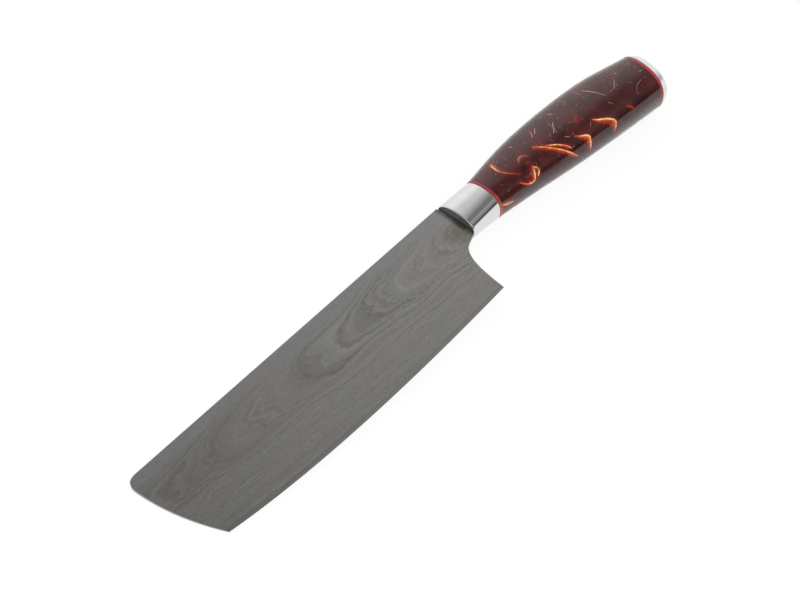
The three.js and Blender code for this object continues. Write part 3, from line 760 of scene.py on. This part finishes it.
def resinFinish():
    # deep red; where copper lies close under the skin, less clear and orange with the copper's tint and
    # painted glow, with a painted glint over the crest
    look = resinLook
    material, tree, shader = newMaterial("castResin")
    spot = knifeCoordinates(tree)
    cloud = noise(tree, spot, *look["cloud"])
    swirl = noise(tree, spot, *look["swirl"])
    streak = noise(tree, spot, *look["streak"])
    glow = addNode(tree, "ShaderNodeAttribute", attribute_name="copperTintAndPaintedGlow").outputs["Fac"]
    glow = mathNode(tree, "MULTIPLY", glow, rangeOf(tree, streak, 0.32, 0.68, *look["streaks"]))
    share = rangeOf(tree, glow, *look["paintedGlowFrom"], 0.0, 1.0)
    fillSockets(tree, shader, {
        "Base Color": mixColours(tree, share, ramp(tree, cloud, look["deep"]), ramp(tree, glow, look["tintAndPaintedGlow"])),
        "Transmission Weight": ramp(tree, glow, [(place, (tone,) * 3) for place, tone in look["clear"]]),
        "Roughness": rangeOf(tree, swirl, 0.2, 0.8, *look["roughness"]), **look["gloss"]})
    bump(tree, shader, swirl, *look["relief"])
    depth = addNode(tree, "ShaderNodeVolumeAbsorption", {
        "Color": look["depthColour"], "Density": look["depthDensity"]})
    tree.links.new(depth.outputs[0], tree.nodes["Material Output"].inputs["Volume"])
    return material


metal = {name: metalFinish(name, look) for name, look in metalLooks.items()}
bladeSteel, redSpacer, castResin = bladeSteelFinish(), redSpacerFinish(), resinFinish()
print("finishes made")

# Pieces
seam, thick, gripEnd = spacer["glueLine"], spacer["thickness"], grip["length"]


def dressSpacer(name, start, end, node):
    surface = gripSlice(start, end, spacer["steps"], spacer["ease"])
    dress(meshObject(name, *surface), redSpacer, "red_spacer", node)


tangRoot = np.array([0.0, (bolster["front"][0] + bolster["front"][1]) / 2])
bladeParts = joined([bladeSurface(), tangShell(tangRoot, unit(buttMiddle[:2] - tangRoot))])
bladePiece = meshObject("bladeWithTang", *bladeParts, blade["sharpAngle"])
dress(bladePiece, bladeSteel, "blade_steel", "blade")
paintPoints(bladePiece.data, "bevel", bevelShare(bladeParts[0]))
bolsterPiece = meshObject("polishedBolster", *bolsterSurface())
dress(bolsterPiece, metal["polishedSteel"], "polished_steel", "bolster")
bolsterPiece.visible_glossy = False         # the etched blade is too matt to mirror it
dressSpacer("frontSpacer", seam, seam + thick, "front_spacer")
handleAngles = np.linspace(0, 2 * np.pi, handle["around"], endpoint=False)
handleParts = gripSlice(
    2 * seam + thick, gripEnd - thick - seam, handle["steps"], handle["ease"], handleAngles)
resinHandle = dress(meshObject("resinHandle", *handleParts), castResin, "resin", "handle")
# the copper's tint, with painted glow and glint, painted on the resin at each point
paintPoints(resinHandle.data, "copperTintAndPaintedGlow", copperTintAndPaintedGlow(handleParts[0]))
dressSpacer("rearSpacer", gripEnd - thick, gripEnd, "rear_spacer")
dress(meshObject("polishedCap", *capSurface()), metal["polishedSteel"], "polished_steel", "end_cap")
print("blade, bolster, spacers, handle and cap made")

for index, (shine, line) in enumerate(allShavings, 1):
    finish = metal["copperSwarf" if shine else "copperThread"]
    curl = meshObject(f"copperCurl{index:02d}", *shavingSurface(line))
    dress(curl, finish, "copper", f"copper_shaving_{index:02d}")
for name, finish, bare in (("copperGlints", "copperSwarf", False), ("copperThreads", "copperThread", True)):
    some = [shavingSurface(line) for shine, line in allExtra if (shine == 0) == bare]
    dress(meshObject(name, *joined(some)), metal[finish], "copper")
dress(meshObject("copperFilaments", *filamentSurface()), metal["copperThread"], "copper")
for name in ("tang_stud", "stud_washer", "stud_nut", "cap_pin_upper", "cap_pin_lower"):
    frame["nodes"][name].material_slots[0].material = metal["plainSteel"]
print("copper and inner fittings dressed")

# Floor, light and camera
stage = {
    "floorSize": 6.0, "floorTone": 0.92, "floorRoughness": 0.9, "whiteShare": 0.93, "worldLight": 0.25,
    "panelSize": 3.0, "panelHeight": 1.2, "panelWatts": 38.0,
}


def whiteToEye(tree, strength):
    # white for the camera, and in mirrors and glass
    path = addNode(tree, "ShaderNodeLightPath").outputs
    mirrored = mathNode(tree, "MAXIMUM", path["Is Glossy Ray"], path["Is Transmission Ray"])
    return mathNode(tree, "MULTIPLY", mathNode(tree, "MAXIMUM", path["Is Camera Ray"], mirrored), strength)


def makeFloor():
    half = stage["floorSize"] / 2
    corners = [(-half, -half, 0), (half, -half, 0), (half, half, 0), (-half, half, 0)]
    floor = newObject("floor", corners, [(0, 1, 2, 3)])
    material, tree, shader = newMaterial("paleFloor")
    fillSockets(tree, shader, {
        "Base Color": (stage["floorTone"],) * 3 + (1,), "Roughness": stage["floorRoughness"],
        "Specular IOR Level": 0.0})
    glow = addNode(tree, "ShaderNodeEmission", {"Strength": 1.0})
    seen = whiteToEye(tree, stage["whiteShare"])
    mix = addNode(tree, "ShaderNodeMixShader", {0: seen, 1: shader.outputs[0], 2: glow.outputs[0]})
    tree.links.new(mix.outputs[0], tree.nodes["Material Output"].inputs["Surface"])
    floor.data.materials.append(material)


# Screen round the knife, angles in degrees
softScreen = {
    "radius": 1.2, "columns": 181, "rows": 91, "top": 89.9, "leastTone": 0.05,
    # dark part: its two ends, how far the second one moves low down and between which heights, and its top
    "darkFrom": (-150, -110), "darkTo": (0, 45), "lowShift": (-35, 20, 52), "darkTop": (62, 76),
    "darkHeights": (0, 4, 8, 13, 20, 30, 42, 53, 90),
    "darkTones": (1.0, 0.85, 0.12, 0.07, 0.15, 0.3, 0.4, 0.23, 0.16),
    "liftSides": (-66, -64.9, -63.6, -59, -56), "lifts": (-4, 5, 10, 11, 5),     # how far its tones move up
    # roof: where it starts, and tones from the edge's side to the spine's
    "roofFrom": (44, 58), "roofSides": (-90, -20, -8, 0, 6, 12, 18, 28, 38, 50, 90),
    "roofTones": (0.2, 0.2, 0.32, 0.55, 0.63, 0.66, 0.7, 0.79, 0.9, 1.0, 1.0),
    "patches": ((44, 30, 16, 0.16), (150, 50, 30, -0.75)),     # azimuth, height, reach and added tone
}


def smooth(value, low, high):
    t = np.clip((value - low) / (high - low), 0, 1)
    return t * t * (3 - 2 * t)


def wayTo(azimuth, height):
    # unit vector of two angles
    a, h = np.radians(azimuth), np.radians(height)
    return np.stack([np.cos(a) * np.cos(h), np.sin(a) * np.cos(h), np.sin(h)], -1)


def makeScreen():
    # half a sphere that only polished and clear surfaces see: white walls, a roof that is white on
    # the spine's side, and a dark part to the camera's right with a tone by height, then soft round patches
    s = softScreen
    azimuth, height = np.meshgrid(np.linspace(-180, 180, s["columns"]), np.linspace(0, s["top"], s["rows"]))
    way = wayTo(azimuth, height)
    shift, low, high = s["lowShift"]
    shifted = azimuth - shift * (1 - smooth(height, low, high))
    dark = smooth(azimuth, *s["darkFrom"]) * (1 - smooth(shifted, *s["darkTo"]))
    dark = dark * (1 - smooth(height, *s["darkTop"]))
    sideways = np.degrees(np.arctan2(way[..., 1], way[..., 2]))
    roof = 1 + (np.interp(sideways, s["roofSides"], s["roofTones"]) - 1) * smooth(height, *s["roofFrom"])
    lifted = height - np.interp(azimuth, s["liftSides"], s["lifts"])
    tone = roof + (np.interp(lifted, s["darkHeights"], s["darkTones"]) - roof) * dark
    for patchAzimuth, patchHeight, reach, added in s["patches"]:
        gap = np.degrees(np.arccos(np.clip(way @ wayTo(patchAzimuth, patchHeight), -1, 1)))
        tone = np.maximum(tone + added * np.exp(-(gap / reach) ** 2), s["leastTone"])
    faces = quadsOfGrid(s["rows"], s["columns"])[:, ::-1].tolist()
    screen = newObject("studioScreen", (s["radius"] * way).reshape(-1, 3), faces)
    paintPoints(screen.data, "tone", tone.ravel())
    material, tree = newMaterial("screenTone")[:2]
    strength = addNode(tree, "ShaderNodeAttribute", attribute_name="tone").outputs["Fac"]
    glow = addNode(tree, "ShaderNodeEmission", {"Strength": strength})
    tree.links.new(glow.outputs[0], tree.nodes["Material Output"].inputs["Surface"])
    screen.data.materials.append(material)
    screen.visible_camera = screen.visible_diffuse = screen.visible_shadow = False


def makeLight():
    world = bpy.data.worlds.new("studio")
    scene.world = world
    world.use_nodes = True
    tree = world.node_tree
    soft = tree.nodes["Background"]
    soft.inputs["Color"].default_value = (1, 1, 1, 1)
    soft.inputs["Strength"].default_value = stage["worldLight"]
    white = addNode(tree, "ShaderNodeBackground", {"Color": (1, 1, 1, 1), "Strength": 1.0})
    mix = addNode(tree, "ShaderNodeMixShader", {
        0: whiteToEye(tree, 1.0), 1: soft.outputs[0], 2: white.outputs[0]})
    tree.links.new(mix.outputs[0], tree.nodes["World Output"].inputs["Surface"])
    panel = bpy.data.lights.new("panel", "AREA")
    panel.shape = "SQUARE"
    panel.size = stage["panelSize"]
    panel.energy = stage["panelWatts"]
    lamp = bpy.data.objects.new("panel", panel)
    lamp.location = (0, 0, stage["panelHeight"])
    lamp.visible_camera = lamp.visible_glossy = lamp.visible_transmission = False
    scene.collection.objects.link(lamp)


view = {
    "azimuth": -48.96, "elevation": 52.38, "roll": 0.06, "distance": 591.09, "aim": (-46.67, -20.13, 0.0),
    "lens": 65.38, "sensor": 36.0, "clip": (0.01, 20.0),
}


def makeCamera():
    a, e, r = (np.radians(view[k]) for k in ("azimuth", "elevation", "roll"))
    back = np.array([np.sin(a) * np.cos(e), -np.cos(a) * np.cos(e), np.sin(e)])
    level = np.array([np.cos(a), np.sin(a), 0])
    upright = np.cross(back, level)
    right = np.cos(r) * level + np.sin(r) * upright
    up = np.cross(back, right)
    axes = turn @ np.stack([right, up, back], 1)
    place = inRow(np.array(view["aim"]) + back * view["distance"])
    camera = bpy.data.cameras.new("camera")
    camera.sensor_width, camera.lens = view["sensor"], view["lens"]
    camera.clip_start, camera.clip_end = view["clip"]
    eye = bpy.data.objects.new("camera", camera)
    eye.matrix_world = Matrix([[*axes[k], place[k]] for k in range(3)] + [[0, 0, 0, 1]])
    scene.collection.objects.link(eye)
    scene.camera = eye


makeFloor()
makeScreen()
makeLight()
makeCamera()
print("stage set")
